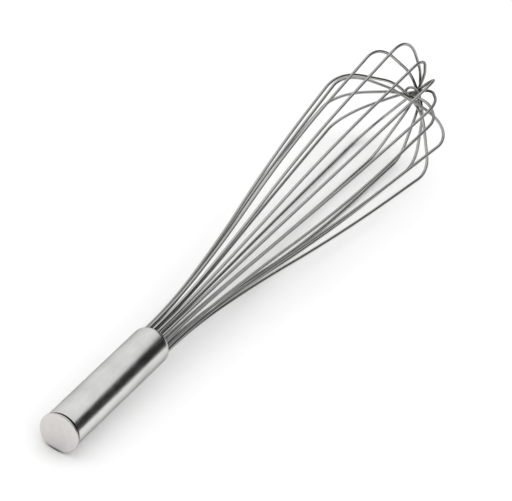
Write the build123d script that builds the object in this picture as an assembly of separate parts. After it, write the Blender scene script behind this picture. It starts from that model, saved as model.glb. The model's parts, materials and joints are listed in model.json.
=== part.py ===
from build123d import *
import math
import os

# Balloon whisk lying on a table. Millimetres.
#
# Every piece is drawn about the handle's axis: X runs from the end cap (X = 0) to the tip,
# and an angle about that axis is counted from +Y towards +Z. The finished whisk is then
# rolled and tilted by a few degrees, so that the rim of its cap and its two lowest wires touch
# Z = 0, and centred over its own footprint.

# ---- handle tube
tube_radius = 12.7
tube_wall = 1.0
tube_start = 3.0
neck_start = 107.2
neck_bend = 5.0
neck_turn = 41.0
cut_edge = 0.4

# ---- end cap: a flat disc with a rounded rim and a short skirt pressed into the tube
cap_radius = 13.4
cap_thickness = 1.0
rim_thickness = 1.4
rim_rounding = 0.6
skirt_clearance = 0.03
skirt_length = 9.0

# ---- what holds the wires inside the handle
core_radius = 7.0
core_start = 76.0
core_end = 108.6
core_edge = 0.5
potting_start = 70.0
potting_end = 109.0
potting_clearance = 0.02

# ---- wires: straight out of the mouth, flaring through a belly to the flank, then in over the
# shoulder. The belly's place is given as a share of the way from the waist to the flank.
wire_diameter = 2.0
wire_start = 68.0
mouth_radius = 9.55
waist_at = 147.0
waist_bend_length = 35.0
belly_along = 0.45
belly_out = 0.375
belly_bend_length = 30.0
flank_at = 310.0
flank_bend_length = 60.0
crown_half_width = 13.0
crown_bend_radius = 24.0

# ---- the crossing: the wires lie on each other, with a locking ring above the place named
innermost_crossing = 448.0
crossing_pitch = 2.1
ring_above_place = 2
ring_wire_diameter = 1.8
ring_radius = 5.4
ring_gap = 2.3
ring_drop = 0.12

# The loops are bent by hand, so no two sides of the cage are the same. The sides are listed in
# order round the handle: how far each stands from the axis at the flank, how far out its
# shoulder is, how far along the axis that is, and the radius of the shoulder's bend.
sides = [
    (26, 37, 440, 23),
    (26, 34, 430, 42),
    (28, 29, 431, 29),
    (29, 40, 443, 25),
    (33, 44, 415, 30),
    (30, 39, 429, 35),
    (36, 40, 437, 25),
    (30, 38, 423, 32),
    (34, 49, 447, 26),
    (33, 52, 440, 31),
    (37, 47, 433, 34),
    (31, 45, 438, 24),
    (34, 45, 412, 48),
    (35, 45, 439, 31),
    (39, 50, 448, 34),
    (37, 41, 444, 33),
]
# For each loop: its place in the crossing, counted from the handle, and how many degrees it
# is turned out of even spacing.
crossing_places = [3, 4, 2, 0, 1, 5, 7, 6]
loop_turns = [1.0, 0.5, 2.0, -0.5, 0.0, 2.0, 3.0, 0.5]
loop_count = len(crossing_places)
loop_step = 180.0 / loop_count
first_loop_angle = 123.75

# ---- how finely the resting position is searched
roll_limit = 8.0
roll_step = 0.02
samples_per_side = 120

wire_radius = wire_diameter / 2


def turned(outline):
    """The solid of a closed outline of (along, out) points, turned about the handle's axis."""
    return revolve(make_face(outline), Axis.X)


def end_cap():
    """Flat disc with a rounded rim, and the skirt that is pressed into the tube."""
    skirt_out = tube_radius - tube_wall - skirt_clearance
    skirt_in = skirt_out - cap_thickness
    outline = Polyline(
        (0, 0),
        (0, cap_radius),
        (rim_thickness, cap_radius),
        (rim_thickness, skirt_out),
        (skirt_length, skirt_out),
        (skirt_length, skirt_in),
        (cap_thickness, skirt_in),
        (cap_thickness, 0),
        close=True,
    )
    disc = turned(outline)
    rim_edges = disc.edges().filter_by(GeomType.CIRCLE).group_by(SortBy.RADIUS)[-1]
    return fillet(rim_edges, rim_rounding)


def handle_tube():
    """Thin tube whose front end is spun inwards to a rounded mouth."""
    centre = (neck_start, tube_radius - neck_bend)
    outside = CenterArc(centre, neck_bend, 90, -neck_turn)
    inside = CenterArc(centre, neck_bend - tube_wall, 90, -neck_turn)
    lip = RadiusArc(outside @ 1, inside @ 1, tube_wall / 2)
    bore = tube_radius - tube_wall
    top = Line((tube_start, tube_radius), outside @ 0)
    end = Line((tube_start, bore), (tube_start, tube_radius))
    under = Line((tube_start, bore), inside @ 0)
    tube = turned(Curve() + [top, outside, lip, inside, under, end])
    outer_end = tube.edges().filter_by(GeomType.CIRCLE).group_by(Axis.X)[0].sort_by(SortBy.RADIUS)[-1]
    return fillet(outer_end, cut_edge)


def core_plug():
    """Round plug in the middle of the ring of wire ends."""
    outline = Polyline(
        (core_start, 0),
        (core_start, core_radius),
        (core_end, core_radius),
        (core_end, 0),
        close=True,
    )
    return chamfer(turned(outline).edges(), core_edge)


def potting():
    """Cast resin that fills the tube round the plug and the wire ends."""
    out = tube_radius - tube_wall - potting_clearance
    hole = core_radius + potting_clearance
    neck_in = neck_bend - tube_wall - potting_clearance
    centre_out = tube_radius - neck_bend
    front_out = centre_out + math.sqrt(neck_in**2 - (potting_end - neck_start) ** 2)
    turn = math.degrees(math.asin((potting_end - neck_start) / neck_in))
    neck = CenterArc((neck_start, centre_out), neck_in, 90, -turn)
    outline = Polyline(
        (potting_end, front_out),
        (potting_end, hole),
        (core_start, hole),
        (core_start, 0),
        (potting_start, 0),
        (potting_start, out),
        neck @ 0,
    )
    block = turned(Curve() + [neck, outline])
    bore = Rot(0, 90, 0) * Cylinder(wire_radius, 2 * (potting_end - wire_start))
    stub = Pos(potting_end, mouth_radius, 0) * bore
    for number in range(loop_count):
        block -= Rot(loop_angle(number), 0, 0) * stub
        block -= Rot(loop_angle(number) + 180, 0, 0) * stub
    return block


def loop_angle(number):
    """Angle of a loop's first side about the handle's axis. Its second side is opposite."""
    return first_loop_angle + number * loop_step + loop_turns[number]


def crossing_height(place):
    """How far along the axis a loop crosses it. The ring takes up room inside the stack."""
    extra = ring_gap if place > ring_above_place else 0.0
    return innermost_crossing + place * crossing_pitch + extra


def gentle_radius(before, corner, after, length):
    """Radius of an arc that starts and ends that length away from the corner."""
    arriving = Vector(*corner) - Vector(*before)
    leaving = Vector(*after) - Vector(*corner)
    half_turn = math.radians(arriving.get_angle(leaving)) / 2
    return length / math.tan(half_turn)


def side_path(side, crown):
    """Corners and bend radii of one side of a loop: X along the axis, Y out from it."""
    flank, reach, shoulder, shoulder_bend = side
    belly_at = waist_at + belly_along * (flank_at - waist_at)
    belly = mouth_radius + belly_out * (flank - mouth_radius)
    corners = [
        (wire_start, mouth_radius),
        (waist_at, mouth_radius),
        (belly_at, belly),
        (flank_at, flank),
        (shoulder, reach),
        (crown, crown_half_width),
    ]
    waist_bend = gentle_radius(*corners[0:3], waist_bend_length)
    belly_bend = gentle_radius(*corners[1:4], belly_bend_length)
    flank_bend = gentle_radius(*corners[2:5], flank_bend_length)
    return corners, [waist_bend, belly_bend, flank_bend, shoulder_bend, crown_bend_radius]


def wire_path(number):
    """Centre line of one loop in its own plane, out along one side and back along the other."""
    crown = crossing_height(crossing_places[number])
    corners, bends = side_path(sides[number], crown)
    far_corners, far_bends = side_path(sides[number + loop_count], crown)
    corners += [(along, -out) for along, out in reversed(far_corners)]
    return FilletPolyline(*corners, radius=bends + far_bends[::-1])


def wire_loop(number):
    """One closed loop of round wire, both ends of it inside the handle."""
    path = wire_path(number)
    section = Plane(origin=path @ 0, z_dir=path % 0) * Circle(wire_radius)
    return Rot(loop_angle(number), 0, 0) * sweep(section, path=path)


def locking_ring():
    """Small wire ring, held between two of the crossing wires."""
    inner_side = crossing_height(ring_above_place)
    outer_side = crossing_height(ring_above_place + 1)
    middle = (inner_side + outer_side) / 2 - ring_drop
    return Pos(middle, 0, 0) * Rot(0, 90, 0) * Torus(ring_radius, ring_wire_diameter / 2)


def outer_points():
    """Points along every side of the cage: along the axis, out from it, and the side's angle."""
    points = []
    for number in range(loop_count):
        path = wire_path(number)
        for step in range(2 * samples_per_side + 1):
            point = path @ (step / (2 * samples_per_side))
            if point.X > flank_at:
                points.append((point.X, point.Y, loop_angle(number)))
    return points


def steepness(points, roll):
    """Slope from the rim of the cap to the lowest wire, once the whisk is rolled that far."""
    slopes = []
    for along, out, angle in points:
        hang = -out * math.sin(math.radians(angle + roll)) + wire_radius
        slopes.append((hang - cap_radius) / (along - rim_thickness / 2))
    return max(slopes)


def resting_roll(points):
    """The roll that brings the two lowest wires onto one level."""
    steps = round(roll_limit / roll_step)
    rolls = [step * roll_step for step in range(-steps, steps + 1)]
    return min(rolls, key=lambda roll: steepness(points, roll))


pieces = {
    "handle_tube": handle_tube(),
    "end_cap": end_cap(),
    "core_plug": core_plug(),
    "potting": potting(),
    "locking_ring": locking_ring(),
}
for number in range(loop_count):
    pieces[f"wire_loop_{number + 1}"] = wire_loop(number)

outer = outer_points()
roll = resting_roll(outer)
tilt = math.degrees(math.atan(steepness(outer, roll)))
resting = Rot(0, -tilt, 0) * Rot(roll, 0, 0)
box = Compound([resting * piece for piece in pieces.values()]).bounding_box()
onto_table = Pos(-(box.min.X + box.max.X) / 2, -(box.min.Y + box.max.Y) / 2, -box.min.Z)

os.makedirs("parts", exist_ok=True)
for name, piece in pieces.items():
    export_step(onto_table * resting * piece, f"parts/{name}.step")

shift = onto_table.position
print(f"roll {roll:.3f} and rest tilt {tilt:.3f} degrees")
print(f"cap face centre at {shift.X:.3f} {shift.Y:.3f} {shift.Z:.3f}")
print(f"overall {box.size.X:.2f} x {box.size.Y:.2f} x {box.size.Z:.2f}")
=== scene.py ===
import json
import math

import bmesh
import bpy
from mathutils import Matrix, Vector


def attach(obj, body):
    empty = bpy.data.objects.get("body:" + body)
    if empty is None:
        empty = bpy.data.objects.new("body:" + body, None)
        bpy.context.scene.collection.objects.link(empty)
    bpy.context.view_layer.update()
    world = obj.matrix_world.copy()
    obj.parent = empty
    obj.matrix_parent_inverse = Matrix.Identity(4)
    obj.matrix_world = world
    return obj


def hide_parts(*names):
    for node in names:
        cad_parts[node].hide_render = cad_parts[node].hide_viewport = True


# A balloon whisk lying on a pale studio floor. Metres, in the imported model's own frame.
# Shapes are first drawn about the handle's axis: X runs from the end cap (X = 0) to the tip.

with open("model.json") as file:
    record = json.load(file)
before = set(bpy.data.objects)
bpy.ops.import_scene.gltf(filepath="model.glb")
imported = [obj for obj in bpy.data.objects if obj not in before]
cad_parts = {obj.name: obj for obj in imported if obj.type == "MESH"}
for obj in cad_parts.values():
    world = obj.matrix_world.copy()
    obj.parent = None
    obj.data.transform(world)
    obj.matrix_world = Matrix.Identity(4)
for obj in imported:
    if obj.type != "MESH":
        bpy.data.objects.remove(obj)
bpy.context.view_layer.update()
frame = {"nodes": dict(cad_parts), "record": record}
MM = 0.001

# ---- surfaces: the name of the map on every new mesh, and the painted shade that darkens crevices.
# The two shares below are how much of the bare metal colour shows through the painted shade,
# from the most closed in place to the most open. For the tube's groove, then for the wires: how
# far off a neighbour still counts, and the open share at which the painted shade is darkest.
grain_map = "grain"
# Colour of the painted shade that darkens crevices.
painted_shade_colour = (0.03, 0.029, 0.027)
least_unshaded = 0.0
most_unshaded = 0.92
groove_reach = 0.0025
groove_open = 0.6
crowd_reach = 0.01
crowd_open = 0.3
shade_samples = 8
# Most of a noise lies between these two.
noise_low = 0.3
noise_high = 0.7

# ---- camera: heading is counted from +X towards +Y, and roll turns the picture about its centre
camera_distance = 3.0
camera_elevation = 34.66
camera_heading = 18.97
camera_roll = 17.47
camera_lens = 335.9
camera_sensor = 36.0
camera_sight = 100.0
aim_along = 0.220
aim_right = -0.01005
aim_up = -0.0059

# ---- studio: the room lights the floor evenly, and a wide lamp stands over the left side
floor_reach = 40.0
room_light = 1.2
room_mirrored = 0.98
lamp_place = (0.1, 0.5, 1.4)
lamp_width = 1.2
lamp_power = 1.0
# Two sides of the room are dark: for each, its heading from +X and the cosines of the angles
# from there at which it begins and is full. Their brightness goes by the angle above the horizon.
dark_sides = [(-45.0, 0.35, 0.75), (-150.0, 0.1, 0.5)]
dark_levels = [
    (-90, 1.0),
    (-1, 0.95),
    (4, 0.4),
    (9, 0.02),
    (20, 0.0),
    (35, 0.0),
    (41, 0.04),
    (47, 0.95),
    (90, 1.0),
]

# ---- handle tube and end cap, in millimetres as in the CAD model
tube_radius = 12.7
tube_wall = 1.0
tube_start = 3.0
neck_start = 107.2
neck_bend = 5.0
neck_turn = 41.0
cut_edge = 0.4
cap_radius = 13.4
cap_thickness = 1.0
rim_thickness = 1.4
rim_rounding = 0.6
skirt_out = 11.67
skirt_in = 10.67
skirt_length = 9.0
face_ring = 6.0
tube_facets = 160

# ---- wires, in millimetres as in the CAD model
wire_radius = 1.0
wire_start = 68.0
mouth_radius = 9.55
waist_at = 147.0
waist_bend_length = 35.0
belly_along = 0.45
belly_out = 0.375
belly_bend_length = 30.0
flank_at = 310.0
flank_bend_length = 60.0
crown_half_width = 13.0
crown_bend_radius = 24.0
innermost_crossing = 448.0
crossing_pitch = 2.1
ring_above_place = 2
ring_wire_radius = 0.9
ring_radius = 5.4
ring_gap = 2.3
ring_drop = 0.12
wire_facets = 20
ring_facets = 96

# One row for each side of a loop, in order round the handle: how far it stands from the axis
# at the flank, how far out its shoulder is, how far along that is, and the shoulder's bend.
sides = [
    (26, 37, 440, 23),
    (26, 34, 430, 42),
    (28, 29, 431, 29),
    (29, 40, 443, 25),
    (33, 44, 415, 30),
    (30, 39, 429, 35),
    (36, 40, 437, 25),
    (30, 38, 423, 32),
    (34, 49, 447, 26),
    (33, 52, 440, 31),
    (37, 47, 433, 34),
    (31, 45, 438, 24),
    (34, 45, 412, 48),
    (35, 45, 439, 31),
    (39, 50, 448, 34),
    (37, 41, 444, 33),
]
crossing_places = [3, 4, 2, 0, 1, 5, 7, 6]
loop_turns = [1.0, 0.5, 2.0, -0.5, 0.0, 2.0, 3.0, 0.5]
loop_count = len(crossing_places)
loop_step = 180.0 / loop_count
first_loop_angle = 123.75
resting_roll = -6.24

# ---- how finely curves are cut: degrees and millimetres per step along a wire's bends, and the
# steps in each arc of the handle's and the cap's outlines
bend_step = 2.5
bend_run = 6.0
neck_steps = 12
bore_steps = 10
lip_steps = 8
edge_steps = 4
rim_steps = 6
tube_crease = 35.0
wire_crease = 60.0


def whisk_axes():
    """The cap face's centre, and unit vectors along the whisk, to its side, and upwards."""
    face = next(m for m in frame["record"]["mounts"] if m["name"] == "cap_face")
    along = -Vector(face["axis"]).normalized()
    side = Vector((0.0, 1.0, 0.0))
    return Vector(face["pos_m"]), along, side, along.cross(side)


def whisk_matrix():
    """Carries millimetres about the rolled whisk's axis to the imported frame."""
    start, along, side, upwards = whisk_axes()
    turn = Matrix((along, side, upwards)).transposed().to_4x4()
    roll = Matrix.Rotation(math.radians(resting_roll), 4, "X")
    return Matrix.Translation(start) @ turn @ roll @ Matrix.Scale(MM, 4)


# ---------------------------------------------------------------- outlines


def rounded(corners, radii):
    """Points along straight runs joined by tangent arcs, one arc at each inner corner."""
    corners = [Vector(c) for c in corners]
    points = [corners[0]]
    for before, corner, after, radius in zip(corners, corners[1:], corners[2:], radii):
        back = (before - corner).normalized()
        ahead = (after - corner).normalized()
        turn = math.pi - back.angle(ahead)
        start = corner + back * radius * math.tan(turn / 2)
        centre = corner + (back + ahead).normalized() * radius / math.cos(turn / 2)
        sense = 1.0 if back.cross(ahead) < 0 else -1.0
        by_angle = math.ceil(math.degrees(turn) / bend_step)
        by_length = math.ceil(radius * turn / bend_run)
        count = max(3, by_angle, by_length)
        arm = start - centre
        for number in range(count + 1):
            angle = sense * turn * number / count
            points.append(centre + Matrix.Rotation(angle, 2) @ arm)
    points.append(corners[-1])
    return points


def arc(centre, radius, first, last, count):
    """Points on a circular arc, with angles in degrees from the +X direction."""
    points = []
    for number in range(count + 1):
        angle = math.radians(first + (last - first) * number / count)
        points.append((centre[0] + radius * math.cos(angle), centre[1] + radius * math.sin(angle)))
    return points


# ---------------------------------------------------------------- mesh makers


def add_piece(name, mesh, replaced, material):
    """Puts a mesh in the scene in place of its CAD node, riding on the one body."""
    piece = bpy.data.objects.new(name, mesh)
    bpy.context.scene.collection.objects.link(piece)
    mesh.materials.append(material)
    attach(piece, "root")
    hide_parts(replaced)
    return piece


def finished(mesh_maker, name, crease):
    """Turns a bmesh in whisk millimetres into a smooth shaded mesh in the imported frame."""
    mesh_maker.transform(whisk_matrix())
    bmesh.ops.recalc_face_normals(mesh_maker, faces=mesh_maker.faces)
    mesh = bpy.data.meshes.new(name)
    mesh_maker.to_mesh(mesh)
    mesh_maker.free()
    mesh.shade_smooth()
    mesh.set_sharp_from_angle(angle=math.radians(crease))
    mesh.uv_layers[0].name = grain_map
    return mesh


def strip(maker, here, there, lengths):
    """Faces between two rings of points, mapped by metres along and by turns round."""
    grain = maker.loops.layers.uv.verify()
    facets = len(here)
    for number in range(facets):
        after = (number + 1) % facets
        corners = [here[number], here[after], there[after], there[number]]
        turns = [number / facets, (number + 1) / facets, (number + 1) / facets, number / facets]
        along = [lengths[0], lengths[0], lengths[1], lengths[1]]
        kept = [spot for spot in range(4) if corners[spot] not in corners[:spot]]
        if len(kept) < 3:
            continue
        face = maker.faces.new([corners[spot] for spot in kept])
        for loop, spot in zip(face.loops, kept):
            loop[grain].uv = (along[spot], turns[spot])


def lathe(outline, facets, closed):
    """A closed solid turned about X. An outline that isn't closed starts and ends on the axis."""
    maker = bmesh.new()
    rings = []
    for along, out in outline:
        if out < 1e-9:
            rings.append([maker.verts.new((along, 0.0, 0.0))] * facets)
            continue
        angles = [math.tau * number / facets for number in range(facets)]
        corners = [(along, out * math.cos(angle), out * math.sin(angle)) for angle in angles]
        rings.append([maker.verts.new(corner) for corner in corners])
    spots = [Vector(spot) for spot in outline]
    if closed:
        rings.append(rings[0])
        spots.append(spots[0])
    length = 0.0
    for number in range(len(rings) - 1):
        step = (spots[number + 1] - spots[number]).length * MM
        strip(maker, rings[number], rings[number + 1], (length, length + step))
        length += step
    return maker


def tube(path, radius, facets, turn, start):
    """Round bar along a path in one plane, which is turned about the whisk's axis.

    Its grain is mapped from the length given as its start, so that no two bars are alike.
    """
    maker = bmesh.new()
    rotation = Matrix.Rotation(math.radians(turn), 3, "X")
    last = len(path) - 1
    rings = []
    for index, point in enumerate(path):
        ahead = path[min(index + 1, last)] - path[max(index - 1, 0)]
        out = Vector((-ahead.y, ahead.x)).normalized()
        ring = []
        for number in range(facets):
            angle = math.tau * number / facets
            place = point + out * radius * math.cos(angle)
            corner = Vector((place.x, place.y, radius * math.sin(angle)))
            ring.append(maker.verts.new(rotation @ corner))
        rings.append(ring)
    length = start
    for number in range(last):
        step = (path[number + 1] - path[number]).length * MM
        strip(maker, rings[number], rings[number + 1], (length, length + step))
        length += step
    maker.faces.new(rings[0])
    maker.faces.new(rings[-1])
    return maker


# ---------------------------------------------------------------- pieces


def handle_outline():
    """Section of the tube: its rounded edge, its neck, the lip of the mouth, and the bore."""
    centre = (neck_start, tube_radius - neck_bend)
    bore = tube_radius - tube_wall
    turn_end = 90.0 - neck_turn
    outside = arc(centre, neck_bend, 90.0, turn_end, neck_steps)
    inside = arc(centre, neck_bend - tube_wall, turn_end, 90.0, bore_steps)
    lip_centre = (
        centre[0] + (neck_bend - tube_wall / 2) * math.cos(math.radians(turn_end)),
        centre[1] + (neck_bend - tube_wall / 2) * math.sin(math.radians(turn_end)),
    )
    lip = arc(lip_centre, tube_wall / 2, turn_end, turn_end - 180.0, lip_steps)[1:-1]
    edge_centre = (tube_start + cut_edge, tube_radius - cut_edge)
    edge = arc(edge_centre, cut_edge, 180.0, 90.0, edge_steps)
    return edge + outside + lip + inside + [(tube_start, bore)]


def cap_outline():
    """Section of the cap: its face, its rounded rim, and the skirt inside the tube."""
    back = (rim_rounding, cap_radius - rim_rounding)
    front = (rim_thickness - rim_rounding, back[1])
    rim_back = arc(back, rim_rounding, 180.0, 90.0, rim_steps)
    rim_front = arc(front, rim_rounding, 90.0, 0.0, rim_steps)
    shell = [
        (rim_thickness, skirt_out),
        (skirt_length, skirt_out),
        (skirt_length, skirt_in),
        (cap_thickness, skirt_in),
        (cap_thickness, 0.0),
    ]
    return [(0.0, 0.0), (0.0, face_ring)] + rim_back + rim_front + shell


def gentle_radius(before, corner, after, length):
    """Radius of an arc that starts and ends that length away from the corner."""
    turn = (Vector(corner) - Vector(before)).angle(Vector(after) - Vector(corner))
    return length / math.tan(turn / 2)


def side_line(side, crown):
    """Corners and bend radii of one side of a loop."""
    flank, reach, shoulder, shoulder_bend = side
    belly_at = waist_at + belly_along * (flank_at - waist_at)
    belly = mouth_radius + belly_out * (flank - mouth_radius)
    corners = [
        (wire_start, mouth_radius),
        (waist_at, mouth_radius),
        (belly_at, belly),
        (flank_at, flank),
        (shoulder, reach),
        (crown, crown_half_width),
    ]
    waist_bend = gentle_radius(*corners[0:3], waist_bend_length)
    belly_bend = gentle_radius(*corners[1:4], belly_bend_length)
    flank_bend = gentle_radius(*corners[2:5], flank_bend_length)
    return corners, [waist_bend, belly_bend, flank_bend, shoulder_bend, crown_bend_radius]


def crossing_height(place):
    """How far along the axis a loop crosses it. The ring takes up room inside the stack."""
    extra = ring_gap if place > ring_above_place else 0.0
    return innermost_crossing + place * crossing_pitch + extra


def loop_line(number):
    """Centre line of one loop, out along one side and back along the other."""
    crown = crossing_height(crossing_places[number])
    corners, bends = side_line(sides[number], crown)
    far_corners, far_bends = side_line(sides[number + loop_count], crown)
    corners += [(along, -out) for along, out in reversed(far_corners)]
    return rounded(corners, bends + far_bends[::-1])


def make_handle(material):
    mesh = finished(lathe(handle_outline(), tube_facets, True), "handle", tube_crease)
    add_piece("handle", mesh, "handle_tube", material)


def make_cap(material):
    mesh = finished(lathe(cap_outline(), tube_facets, False), "cap", tube_crease)
    add_piece("cap", mesh, "end_cap", material)


def make_wires(material):
    for number in range(loop_count):
        angle = first_loop_angle + number * loop_step + loop_turns[number]
        maker = tube(loop_line(number), wire_radius, wire_facets, angle, float(number))
        mesh = finished(maker, f"wire_{number + 1}", wire_crease)
        add_piece(mesh.name, mesh, f"wire_loop_{number + 1}", material)


def make_ring(material):
    inner_side = crossing_height(ring_above_place)
    outer_side = crossing_height(ring_above_place + 1)
    middle = (inner_side + outer_side) / 2 - ring_drop
    outline = arc((middle, ring_radius), ring_wire_radius, 0.0, 360.0, wire_facets)[:-1]
    mesh = finished(lathe(outline, ring_facets, True), "ring", wire_crease)
    add_piece("ring", mesh, "locking_ring", material)


# ---------------------------------------------------------------- materials


class Nodes:
    """A node tree, with short ways to add nodes to it. Values are numbers or other outputs."""

    def __init__(self, tree):
        self.nodes = tree.nodes
        self.links = tree.links

    def join(self, source, target):
        self.links.new(source, target)

    def feed(self, value, socket):
        if isinstance(value, (int, float)):
            socket.default_value = value
        else:
            self.join(value, socket)

    def maths(self, operation, first, second):
        node = self.nodes.new("ShaderNodeMath")
        node.operation = operation
        self.feed(first, node.inputs[0])
        self.feed(second, node.inputs[1])
        return node.outputs["Value"]

    def mixed(self, factor, first, second):
        node = self.nodes.new("ShaderNodeMix")
        node.data_type = "FLOAT"
        self.feed(factor, node.inputs["Factor"])
        self.feed(first, node.inputs["A"])
        self.feed(second, node.inputs["B"])
        return node.outputs["Result"]


class Paint(Nodes):
    """A material and its shader."""

    def __init__(self, name):
        self.material = bpy.data.materials.new(name)
        self.material.use_nodes = True
        super().__init__(self.material.node_tree)
        self.shader = self.nodes["Principled BSDF"]

    def coat(self, source, socket):
        """Drives one of the shader's sockets."""
        self.join(source, self.shader.inputs[socket])

    def metal(self, edge):
        """Makes it a metal, whose mirror is dimmed by that factor near grazing angles."""
        self.shader.inputs["Metallic"].default_value = 1.0
        self.shader.inputs["Specular Tint"].default_value = (edge, edge, edge, 1.0)

    def span(self, value, low, high, start=0.0, end=1.0):
        """The value, carried from between start and end to between low and high."""
        node = self.nodes.new("ShaderNodeMapRange")
        node.inputs["From Min"].default_value = start
        node.inputs["From Max"].default_value = end
        node.inputs["To Min"].default_value = low
        node.inputs["To Max"].default_value = high
        self.join(value, node.inputs["Value"])
        return node.outputs["Result"]

    def usual(self, noise, low, high):
        """A noise, carried from its usual range to between low and high."""
        return self.span(noise, low, high, start=noise_low, end=noise_high)

    def noise(self, place, scale, detail):
        node = self.nodes.new("ShaderNodeTexNoise")
        node.inputs["Scale"].default_value = scale
        node.inputs["Detail"].default_value = detail
        self.join(place, node.inputs["Vector"])
        return node.outputs["Fac"]

    def tint(self, amount, low, high):
        node = self.nodes.new("ShaderNodeMix")
        node.data_type = "RGBA"
        node.inputs["A"].default_value = (*low, 1.0)
        node.inputs["B"].default_value = (*high, 1.0)
        self.join(amount, node.inputs["Factor"])
        return node.outputs["Result"]

    def relief(self, height, depth):
        node = self.nodes.new("ShaderNodeBump")
        node.inputs["Strength"].default_value = 1.0
        node.inputs["Distance"].default_value = depth
        self.join(height, node.inputs["Height"])
        self.coat(node.outputs["Normal"], "Normal")

    def unrolled(self, radius, stretch):
        """Place on a bar or turned piece: metres along it over the stretch, then out and round."""
        grain = self.nodes.new("ShaderNodeUVMap")
        grain.uv_map = grain_map
        parts = self.nodes.new("ShaderNodeSeparateXYZ")
        self.join(grain.outputs["UV"], parts.inputs["Vector"])
        angle = self.maths("MULTIPLY", parts.outputs["Y"], math.tau)
        place = self.nodes.new("ShaderNodeCombineXYZ")
        self.join(self.maths("DIVIDE", parts.outputs["X"], stretch), place.inputs["X"])
        self.join(self.maths("MULTIPLY", self.maths("COSINE", angle, 0.0), radius), place.inputs["Y"])
        self.join(self.maths("MULTIPLY", self.maths("SINE", angle, 0.0), radius), place.inputs["Z"])
        return place.outputs["Vector"]

    def painted_crevice_shade(self, colour, reach, least_open):
        """Coats the shader with the colour under painted shade, which thins out in the open.

        Reach is how far off a neighbour still counts. The painted shade is at its darkest wherever
        no more than the least open share of the view out from the surface is free.
        """
        crowd = self.nodes.new("ShaderNodeAmbientOcclusion")
        crowd.samples = shade_samples
        crowd.inputs["Distance"].default_value = reach
        shade_mix = self.nodes.new("ShaderNodeMix")
        shade_mix.data_type = "RGBA"
        shade_mix.inputs["A"].default_value = (*painted_shade_colour, 1.0)
        self.join(colour, shade_mix.inputs["B"])
        # Share of the colour left unshaded, by how open the view is; the rest is painted shade.
        unshaded = self.span(crowd.outputs["AO"], least_unshaded, most_unshaded, start=least_open, end=1.0)
        self.join(unshaded, shade_mix.inputs["Factor"])
        self.coat(shade_mix.outputs["Result"], "Base Color")


def scaled(colour, factor):
    return tuple(channel * factor for channel in colour)


def tube_steel():
    """Polished tube: lengthwise drawing lines, soft smudges, and a few fine knocks."""
    paint = Paint("tube_steel")
    colour = (0.765, 0.762, 0.755)
    smudged = scaled(colour, 0.88)
    polished = scaled(colour, 1.05)
    radius = tube_radius * MM
    smudge = paint.noise(paint.unrolled(radius, stretch=2.0), scale=90.0, detail=4.0)
    drawn = paint.noise(paint.unrolled(radius, stretch=40.0), scale=2600.0, detail=2.0)
    ripple = paint.noise(paint.unrolled(radius, stretch=3.0), scale=520.0, detail=3.0)
    knocks = paint.noise(paint.unrolled(radius, stretch=1.0), scale=420.0, detail=1.0)
    pits = paint.span(knocks, low=1.0, high=0.0, start=0.27, end=0.33)
    unshaded = paint.tint(paint.usual(smudge, low=0.0, high=1.0), smudged, polished)
    # Painted shade: the colour darkens where the tube closes in, in the groove by the cap.
    paint.painted_crevice_shade(unshaded, groove_reach, groove_open)
    soft = paint.usual(smudge, low=0.18, high=0.25)
    streak = paint.usual(drawn, low=-0.03, high=0.03)
    paint.coat(paint.maths("ADD", soft, streak), "Roughness")
    line_share = 0.1
    pit_share = -0.4
    lines = paint.maths("MULTIPLY", drawn, line_share)
    dents = paint.maths("MULTIPLY", pits, pit_share)
    marks = paint.maths("ADD", lines, dents)
    paint.relief(paint.maths("ADD", marks, ripple), depth=0.05 * MM)
    paint.metal(edge=0.42)
    return paint.material


def cap_steel():
    """Disc faced on a lathe: fine rings about its middle, and faint stains."""
    paint = Paint("cap_steel")
    colour = (0.73, 0.712, 0.69)
    stained = scaled(colour, 0.88)
    polished = scaled(colour, 1.08)
    stain = paint.noise(paint.unrolled(6.0 * MM, stretch=1.0), scale=260.0, detail=5.0)
    rings = paint.noise(paint.unrolled(0.5 * MM, stretch=0.5), scale=1500.0, detail=2.0)
    # Painted shade: the colour darkens where the rim and the skirt close in.
    paint.painted_crevice_shade(paint.tint(stain, stained, polished), groove_reach, groove_open)
    soft = paint.usual(stain, low=0.3, high=0.38)
    turned = paint.span(rings, low=-0.04, high=0.04)
    paint.coat(paint.maths("ADD", soft, turned), "Roughness")
    paint.relief(rings, depth=0.012 * MM)
    paint.metal(edge=0.4)
    return paint.material


def wire_steel():
    """Bright drawn wire: fine lines along it, and painted shade where wires crowd together."""
    paint = Paint("wire_steel")
    colour = (0.56, 0.557, 0.55)
    dulled = scaled(colour, 0.86)
    polished = scaled(colour, 1.06)
    radius = wire_radius * MM
    drawn = paint.noise(paint.unrolled(radius, stretch=60.0), scale=3500.0, detail=2.0)
    drift = paint.noise(paint.unrolled(radius, stretch=3.0), scale=160.0, detail=3.0)
    # Painted shade: the colour darkens where wires crowd together in the throat and the hub.
    paint.painted_crevice_shade(paint.tint(drift, dulled, polished), crowd_reach, crowd_open)
    soft = paint.usual(drift, low=0.04, high=0.08)
    streak = paint.usual(drawn, low=-0.03, high=0.03)
    paint.coat(paint.maths("ADD", soft, streak), "Roughness")
    paint.relief(drawn, depth=0.006 * MM)
    paint.metal(edge=0.3)
    return paint.material


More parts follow.
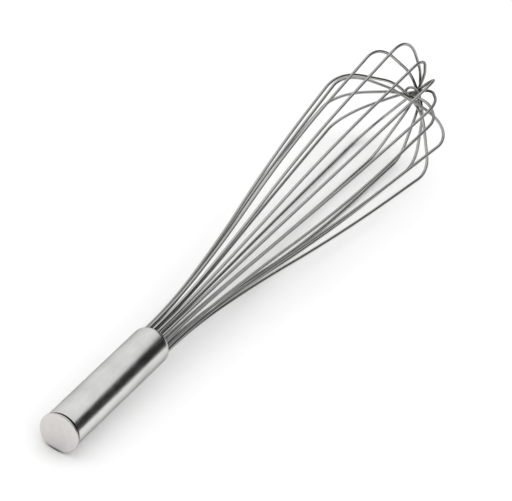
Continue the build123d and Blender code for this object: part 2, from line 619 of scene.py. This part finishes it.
def potting_resin():
    """Cast grey resin with a slightly uneven, satin skin and small bubbles."""
    paint = Paint("potting_resin")
    dark_grey = (0.035, 0.034, 0.032)
    light_grey = (0.07, 0.068, 0.064)
    place = paint.nodes.new("ShaderNodeTexCoord").outputs["Object"]
    cloud = paint.noise(place, scale=400.0, detail=4.0)
    specks = paint.noise(place, scale=1500.0, detail=1.0)
    bubbles = paint.span(specks, low=1.0, high=0.0, start=0.28, end=0.36)
    paint.coat(paint.tint(cloud, dark_grey, light_grey), "Base Color")
    paint.coat(paint.span(cloud, low=0.45, high=0.6), "Roughness")
    paint.relief(paint.maths("SUBTRACT", cloud, bubbles), depth=0.1 * MM)
    return paint.material


def core_plastic():
    """Turned nylon rod, dull and slightly mottled."""
    paint = Paint("core_plastic")
    dark_grey = (0.09, 0.088, 0.083)
    light_grey = (0.13, 0.127, 0.12)
    place = paint.nodes.new("ShaderNodeTexCoord").outputs["Object"]
    mottle = paint.noise(place, scale=700.0, detail=3.0)
    paint.coat(paint.tint(mottle, dark_grey, light_grey), "Base Color")
    paint.coat(paint.span(mottle, low=0.5, high=0.62), "Roughness")
    paint.relief(mottle, depth=0.04 * MM)
    return paint.material


def wear(node, material):
    """Gives a CAD node that stays as it is a material of its own."""
    slots = frame["nodes"][node].data.materials
    slots.clear()
    slots.append(material)


wires_look = wire_steel()
make_handle(tube_steel())
make_cap(cap_steel())
make_wires(wires_look)
make_ring(wires_look)
wear("potting", potting_resin())
wear("core_plug", core_plastic())


# ---------------------------------------------------------------- studio


def floor():
    """A wide sheet of matt white paper, with a faint tooth."""
    paint = Paint("floor_white")
    dark_white = (0.895, 0.895, 0.893)
    light_white = (0.905, 0.905, 0.903)
    place = paint.nodes.new("ShaderNodeTexCoord").outputs["Object"]
    tooth = paint.noise(place, scale=900.0, detail=2.0)
    paint.coat(paint.tint(tooth, dark_white, light_white), "Base Color")
    paint.shader.inputs["Roughness"].default_value = 0.9
    paint.shader.inputs["Specular IOR Level"].default_value = 0.1
    mesh = bpy.data.meshes.new("floor")
    signs = [(-1, -1), (1, -1), (1, 1), (-1, 1)]
    corners = [(x * floor_reach, y * floor_reach, 0.0) for x, y in signs]
    mesh.from_pydata(corners, [], [(0, 1, 2, 3)])
    mesh.materials.append(paint.material)
    sheet = bpy.data.objects.new("floor", mesh)
    bpy.context.scene.collection.objects.link(sheet)


def softbox():
    """A wide lamp overhead, which the polished steel doesn't mirror."""
    lamp = bpy.data.lights.new("softbox", "AREA")
    lamp.shape = "SQUARE"
    lamp.size = lamp_width
    lamp.energy = lamp_power
    box = bpy.data.objects.new("softbox", lamp)
    box.location = lamp_place
    box.rotation_mode = "QUATERNION"
    box.rotation_quaternion = (-Vector(lamp_place)).to_track_quat("-Z", "Y")
    box.visible_glossy = False
    bpy.context.scene.collection.objects.link(box)


def brightness_by_height(room, look):
    """Brightness of a dark side of the room, by the angle above the horizon."""
    parts = room.nodes.new("ShaderNodeSeparateXYZ")
    room.join(look, parts.inputs["Vector"])
    rise = room.maths("DEGREES", room.maths("ARCSINE", parts.outputs["Z"], 0.0), 0.0)
    curve = room.nodes.new("ShaderNodeFloatCurve")
    share = room.maths("DIVIDE", room.maths("ADD", rise, 90.0), 180.0)
    room.join(share, curve.inputs["Value"])
    places = [((degrees + 90.0) / 180.0, level) for degrees, level in dark_levels]
    dots = curve.mapping.curves[0].points
    dots[0].location = places[0]
    dots[-1].location = places[-1]
    for place in places[1:-1]:
        dots.new(*place)
    curve.mapping.update()
    return curve.outputs["Value"]


def towards_dark_side(room, look):
    """How far a direction points into one of the dark sides of the room, from 0 to 1."""
    dark = 0.0
    for heading, begins, full in dark_sides:
        aim = room.nodes.new("ShaderNodeVectorMath")
        aim.operation = "DOT_PRODUCT"
        turn = math.radians(heading)
        aim.inputs[1].default_value = (math.cos(turn), math.sin(turn), 0.0)
        room.join(look, aim.inputs[0])
        side = room.nodes.new("ShaderNodeMapRange")
        side.interpolation_type = "SMOOTHSTEP"
        side.inputs["From Min"].default_value = begins
        side.inputs["From Max"].default_value = full
        room.join(aim.outputs["Value"], side.inputs["Value"])
        dark = room.maths("MAXIMUM", dark, side.outputs["Result"])
    return dark


def surroundings():
    """An even, pale room. Steel mirrors it with two of its sides dark near the horizon."""
    world = bpy.data.worlds.new("studio")
    bpy.context.scene.world = world
    world.use_nodes = True
    room = Nodes(world.node_tree)
    look = room.nodes.new("ShaderNodeTexCoord").outputs["Generated"]
    level = room.mixed(towards_dark_side(room, look), 1.0, brightness_by_height(room, look))
    mirrored = room.maths("MULTIPLY", level, room_mirrored)
    rays = room.nodes.new("ShaderNodeLightPath")
    seen = room.mixed(rays.outputs["Is Glossy Ray"], room_light, mirrored)
    backdrop = room.nodes["Background"]
    room.join(seen, backdrop.inputs["Strength"])
    backdrop.inputs["Color"].default_value = (1.0, 1.0, 1.0, 1.0)


def camera():
    """A long lens that looks down on the whisk, aimed at a point along its axis."""
    start, along, _, _ = whisk_axes()
    aim = start + along * aim_along
    elevation = math.radians(camera_elevation)
    heading = math.radians(camera_heading)
    level = math.cos(elevation)
    forward = Vector((level * math.cos(heading), level * math.sin(heading), -math.sin(elevation)))
    level_turn = forward.to_track_quat("-Z", "Y").to_matrix()
    turn = level_turn @ Matrix.Rotation(math.radians(camera_roll), 3, "Z")
    place = aim - forward * camera_distance - turn @ Vector((aim_right, aim_up, 0.0))
    lens = bpy.data.cameras.new("photo_camera")
    lens.lens = camera_lens
    lens.sensor_width = camera_sensor
    lens.clip_end = camera_sight
    eye = bpy.data.objects.new("photo_camera", lens)
    eye.matrix_world = Matrix.Translation(place) @ turn.to_4x4()
    bpy.context.scene.collection.objects.link(eye)
    bpy.context.scene.camera = eye


floor()
surroundings()
softbox()
camera()
bpy.context.scene.view_settings.view_transform = "Standard"
